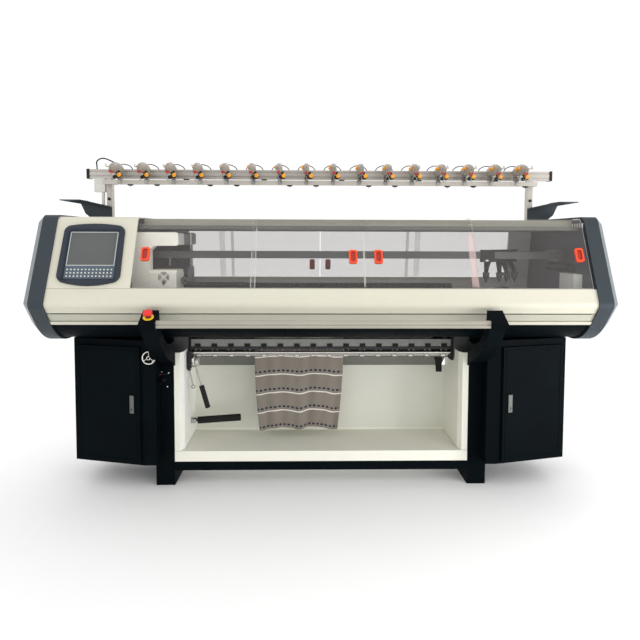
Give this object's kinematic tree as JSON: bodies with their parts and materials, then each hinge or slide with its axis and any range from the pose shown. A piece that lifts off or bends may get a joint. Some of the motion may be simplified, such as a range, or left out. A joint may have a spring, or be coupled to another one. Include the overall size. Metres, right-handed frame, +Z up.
{
  "type": "flat knitting machine",
  "caption": "Computerised flat knitting machine: long faceted housing with sliding windows on a two-leg stand with cabinets, yarn feeder frame above, takedown and fabric compartment below.",
  "frame": {"origin": "on the floor, under the middle of the bounding box", "axes": "+X along the machine to the operator's right, +Y from the operator to the rear, +Z up"},
  "size_m": [2.708, 0.98, 1.6298],
  "materials": {
    "slate_paint": "satin powder coat",
    "cream_paint": "satin powder coat",
    "greige_paint": "satin powder coat",
    "base_black": "fine textured powder coat",
    "smoked_window": "clear acrylic with a slight warm smoke tint",
    "track_grey": "anodised",
    "bezel_slate": "fine grain",
    "panel_grey": "display and key membrane",
    "switch_black": "moulded",
    "lock_metal": "satin",
    "polished_steel": "polished",
    "safety_yellow": "moulded",
    "button_red": "moulded",
    "bar_grey": "satin",
    "needle_bed_steel": "ground steel, oiled",
    "cast_bed_beam": "machined casting",
    "rail_aluminium": "anodised",
    "carriage_cream": "satin",
    "carrier_black": "moulded",
    "roller_rubber": "ground rubber",
    "takedown_grey": "satin",
    "knit_wool": "knitted wool with white stripes",
    "grip_black": "moulded grip",
    "box_grey": "satin",
    "tensioner_grey": "moulded",
    "tension_orange": "moulded",
    "conduit_black": "spiral wrapped hose"
  },
  "bodies": {
    "machine": {"apron_skirt": "greige_paint", "base_pan": "base_black", "bed_beams": "cast_bed_beam", "cable_conduits": "conduit_black", "collection_tray": "cream_paint", "compartment_panels": "cream_paint", "control_cover": "cream_paint", "display_bezel": "bezel_slate", "display_panel": "panel_grey", "electrical_boxes": "box_grey", "emergency_collar": "safety_yellow", "feeder_frame": "rail_aluminium", "front_apron": "cream_paint", "guide_rails": "rail_aluminium", "horn_brackets": "base_black", "knitted_fabric": "knit_wool", "left_cabinet": "base_black", "left_end_cap": "slate_paint", "needle_beds": "needle_bed_steel", "rear_apron": "cream_paint", "rear_fixed_windows": "smoked_window", "right_cabinet": "base_black", "right_end_cap": "slate_paint", "stand_frame": "base_black", "table_brackets": "base_black", "takedown_brackets": "carrier_black", "takedown_frame": "takedown_grey", "tensioner_arms": "polished_steel", "tensioner_discs": "tension_orange", "tensioner_housings": "tensioner_grey", "top_cover": "cream_paint", "window_tracks": "track_grey", "yarn_carrier_rails": "rail_aluminium", "yarn_guides": "carrier_black"},
    "emergency_stem": {"emergency_stem": "switch_black"},
    "emergency_head": {"emergency_head": "button_red"},
    "start_bar": {"start_bar": "bar_grey"},
    "carriage": {"carriage_bridge": "carriage_cream", "carriage_cam_boxes": "carriage_cream"},
    "left_door": {"left_door": "base_black"},
    "right_door": {"right_door": "base_black"},
    "left_lock_handle": {"left_lock_handle": "lock_metal"},
    "right_lock_handle": {"right_lock_handle": "lock_metal"},
    "main_takedown_roller": {"main_takedown_roller": "roller_rubber"},
    "press_rollers": {"press_rollers": "polished_steel"},
    "release_lever": {"release_lever": "grip_black"},
    "ring_lever": {"ring_lever": "polished_steel"},
    "grip_lever": {"grip_lever": "grip_black"},
    "hand_wheel": {"hand_wheel": "polished_steel"},
    "power_switch_toggle": {"power_switch_toggle": "switch_black"},
    "yarn_carrier_1": {"yarn_carrier_1": "carrier_black"},
    "front_window_1": {"front_window_1": "smoked_window"},
    "yarn_carrier_2": {"yarn_carrier_2": "carrier_black"},
    "front_window_2": {"front_window_2": "smoked_window"},
    "yarn_carrier_3": {"yarn_carrier_3": "carrier_black"},
    "front_window_3": {"front_window_3": "smoked_window"},
    "yarn_carrier_4": {"yarn_carrier_4": "carrier_black"},
    "front_window_4": {"front_window_4": "smoked_window"},
    "rear_window_left": {"rear_window_left": "smoked_window"},
    "rear_window_right": {"rear_window_right": "smoked_window"}
  },
  "joints": [
    {"name": "emergency_press", "type": "slide", "parent": "machine", "child": "emergency_stem", "axis": [0, -0.4848, 0.8746], "range_m": [-0.006, 0]},
    {"name": "emergency_twist", "type": "hinge", "parent": "emergency_stem", "child": "emergency_head", "pos_m": [-0.745, -0.444, 0.8735], "axis": [0, -0.4848, 0.8746], "range_deg": [-40, 0], "stiffness_Nm_per_rad": 0.05},
    {"name": "start_bar_twist", "type": "hinge", "parent": "machine", "child": "start_bar", "pos_m": [0, -0.452, 0.845], "axis": [1, 0, 0], "range_deg": [-20, 20], "stiffness_Nm_per_rad": 6},
    {"name": "carriage_travel", "type": "slide", "parent": "machine", "child": "carriage", "axis": [1, 0, 0], "range_m": [0, 1.5]},
    {"name": "yarn_carrier_1_travel", "type": "slide", "parent": "machine", "child": "yarn_carrier_1", "axis": [1, 0, 0], "range_m": [-1.5, 0.1]},
    {"name": "yarn_carrier_2_travel", "type": "slide", "parent": "machine", "child": "yarn_carrier_2", "axis": [1, 0, 0], "range_m": [-1.57, 0.1]},
    {"name": "yarn_carrier_3_travel", "type": "slide", "parent": "machine", "child": "yarn_carrier_3", "axis": [1, 0, 0], "range_m": [-1.6, 0.1]},
    {"name": "yarn_carrier_4_travel", "type": "slide", "parent": "machine", "child": "yarn_carrier_4", "axis": [1, 0, 0], "range_m": [-1.65, 0.1]},
    {"name": "front_window_1_slide", "type": "slide", "parent": "machine", "child": "front_window_1", "axis": [1, 0, 0], "range_m": [0, 0.48]},
    {"name": "front_window_2_slide", "type": "slide", "parent": "machine", "child": "front_window_2", "axis": [1, 0, 0], "range_m": [-0.5, 0]},
    {"name": "front_window_3_slide", "type": "slide", "parent": "machine", "child": "front_window_3", "axis": [1, 0, 0], "range_m": [0, 0.5]},
    {"name": "front_window_4_slide", "type": "slide", "parent": "machine", "child": "front_window_4", "axis": [1, 0, 0], "range_m": [-0.48, 0]},
    {"name": "rear_window_right_slide", "type": "slide", "parent": "machine", "child": "rear_window_right", "axis": [1, 0, 0], "range_m": [0, 0.48]},
    {"name": "rear_window_left_slide", "type": "slide", "parent": "machine", "child": "rear_window_left", "axis": [1, 0, 0], "range_m": [-0.23, 0]},
    {"name": "right_door_hinge", "type": "hinge", "parent": "machine", "child": "right_door", "pos_m": [1.18468, -0.09719, 0.42], "axis": [0, 0, 1], "range_deg": [0, 100]},
    {"name": "left_door_hinge", "type": "hinge", "parent": "machine", "child": "left_door", "pos_m": [-1.18468, -0.09719, 0.42], "axis": [0, 0, 1], "range_deg": [-100, 0]},
    {"name": "right_lock_flip", "type": "hinge", "parent": "right_door", "child": "right_lock_handle", "pos_m": [0.89716, -0.17562, 0.461], "axis": [0.9682, 0.2502, 0], "range_deg": [-45, 0]},
    {"name": "left_lock_flip", "type": "hinge", "parent": "left_door", "child": "left_lock_handle", "pos_m": [-0.89716, -0.17562, 0.461], "axis": [0.9682, -0.2502, 0], "range_deg": [-45, 0]},
    {"name": "main_roller_turn", "type": "hinge", "parent": "machine", "child": "main_takedown_roller", "pos_m": [0, 0.0793, 0.616], "axis": [1, 0, 0], "continuous": true},
    {"name": "press_rollers_turn", "type": "hinge", "parent": "machine", "child": "press_rollers", "pos_m": [0, 0.0497, 0.616], "axis": [1, 0, 0], "continuous": true},
    {"name": "release_lever_swing", "type": "hinge", "parent": "machine", "child": "release_lever", "pos_m": [-0.66, 0, 0.575], "axis": [1, 0, 0], "range_deg": [-60, 30]},
    {"name": "ring_lever_swing", "type": "hinge", "parent": "machine", "child": "ring_lever", "pos_m": [-0.666, 0.04, 0.549], "axis": [1, 0, 0], "range_deg": [-20, 20]},
    {"name": "grip_lever_swing", "type": "hinge", "parent": "machine", "child": "grip_lever", "pos_m": [-0.656, 0.1, 0.262], "axis": [0, 1, 0], "range_deg": [-35, 20]},
    {"name": "hand_wheel_turn", "type": "hinge", "parent": "machine", "child": "hand_wheel", "pos_m": [-0.812, -0.196, 0.65], "axis": [0, 1, 0], "continuous": true},
    {"name": "power_switch_rock", "type": "hinge", "parent": "machine", "child": "power_switch_toggle", "pos_m": [-0.762, -0.108, 0.527], "axis": [1, 0, 0], "range_deg": [-12, 12]}
  ],
  "couplings": [
    {"joint": "press_rollers_turn", "follows": "main_roller_turn", "ratio": -2}
  ]
}
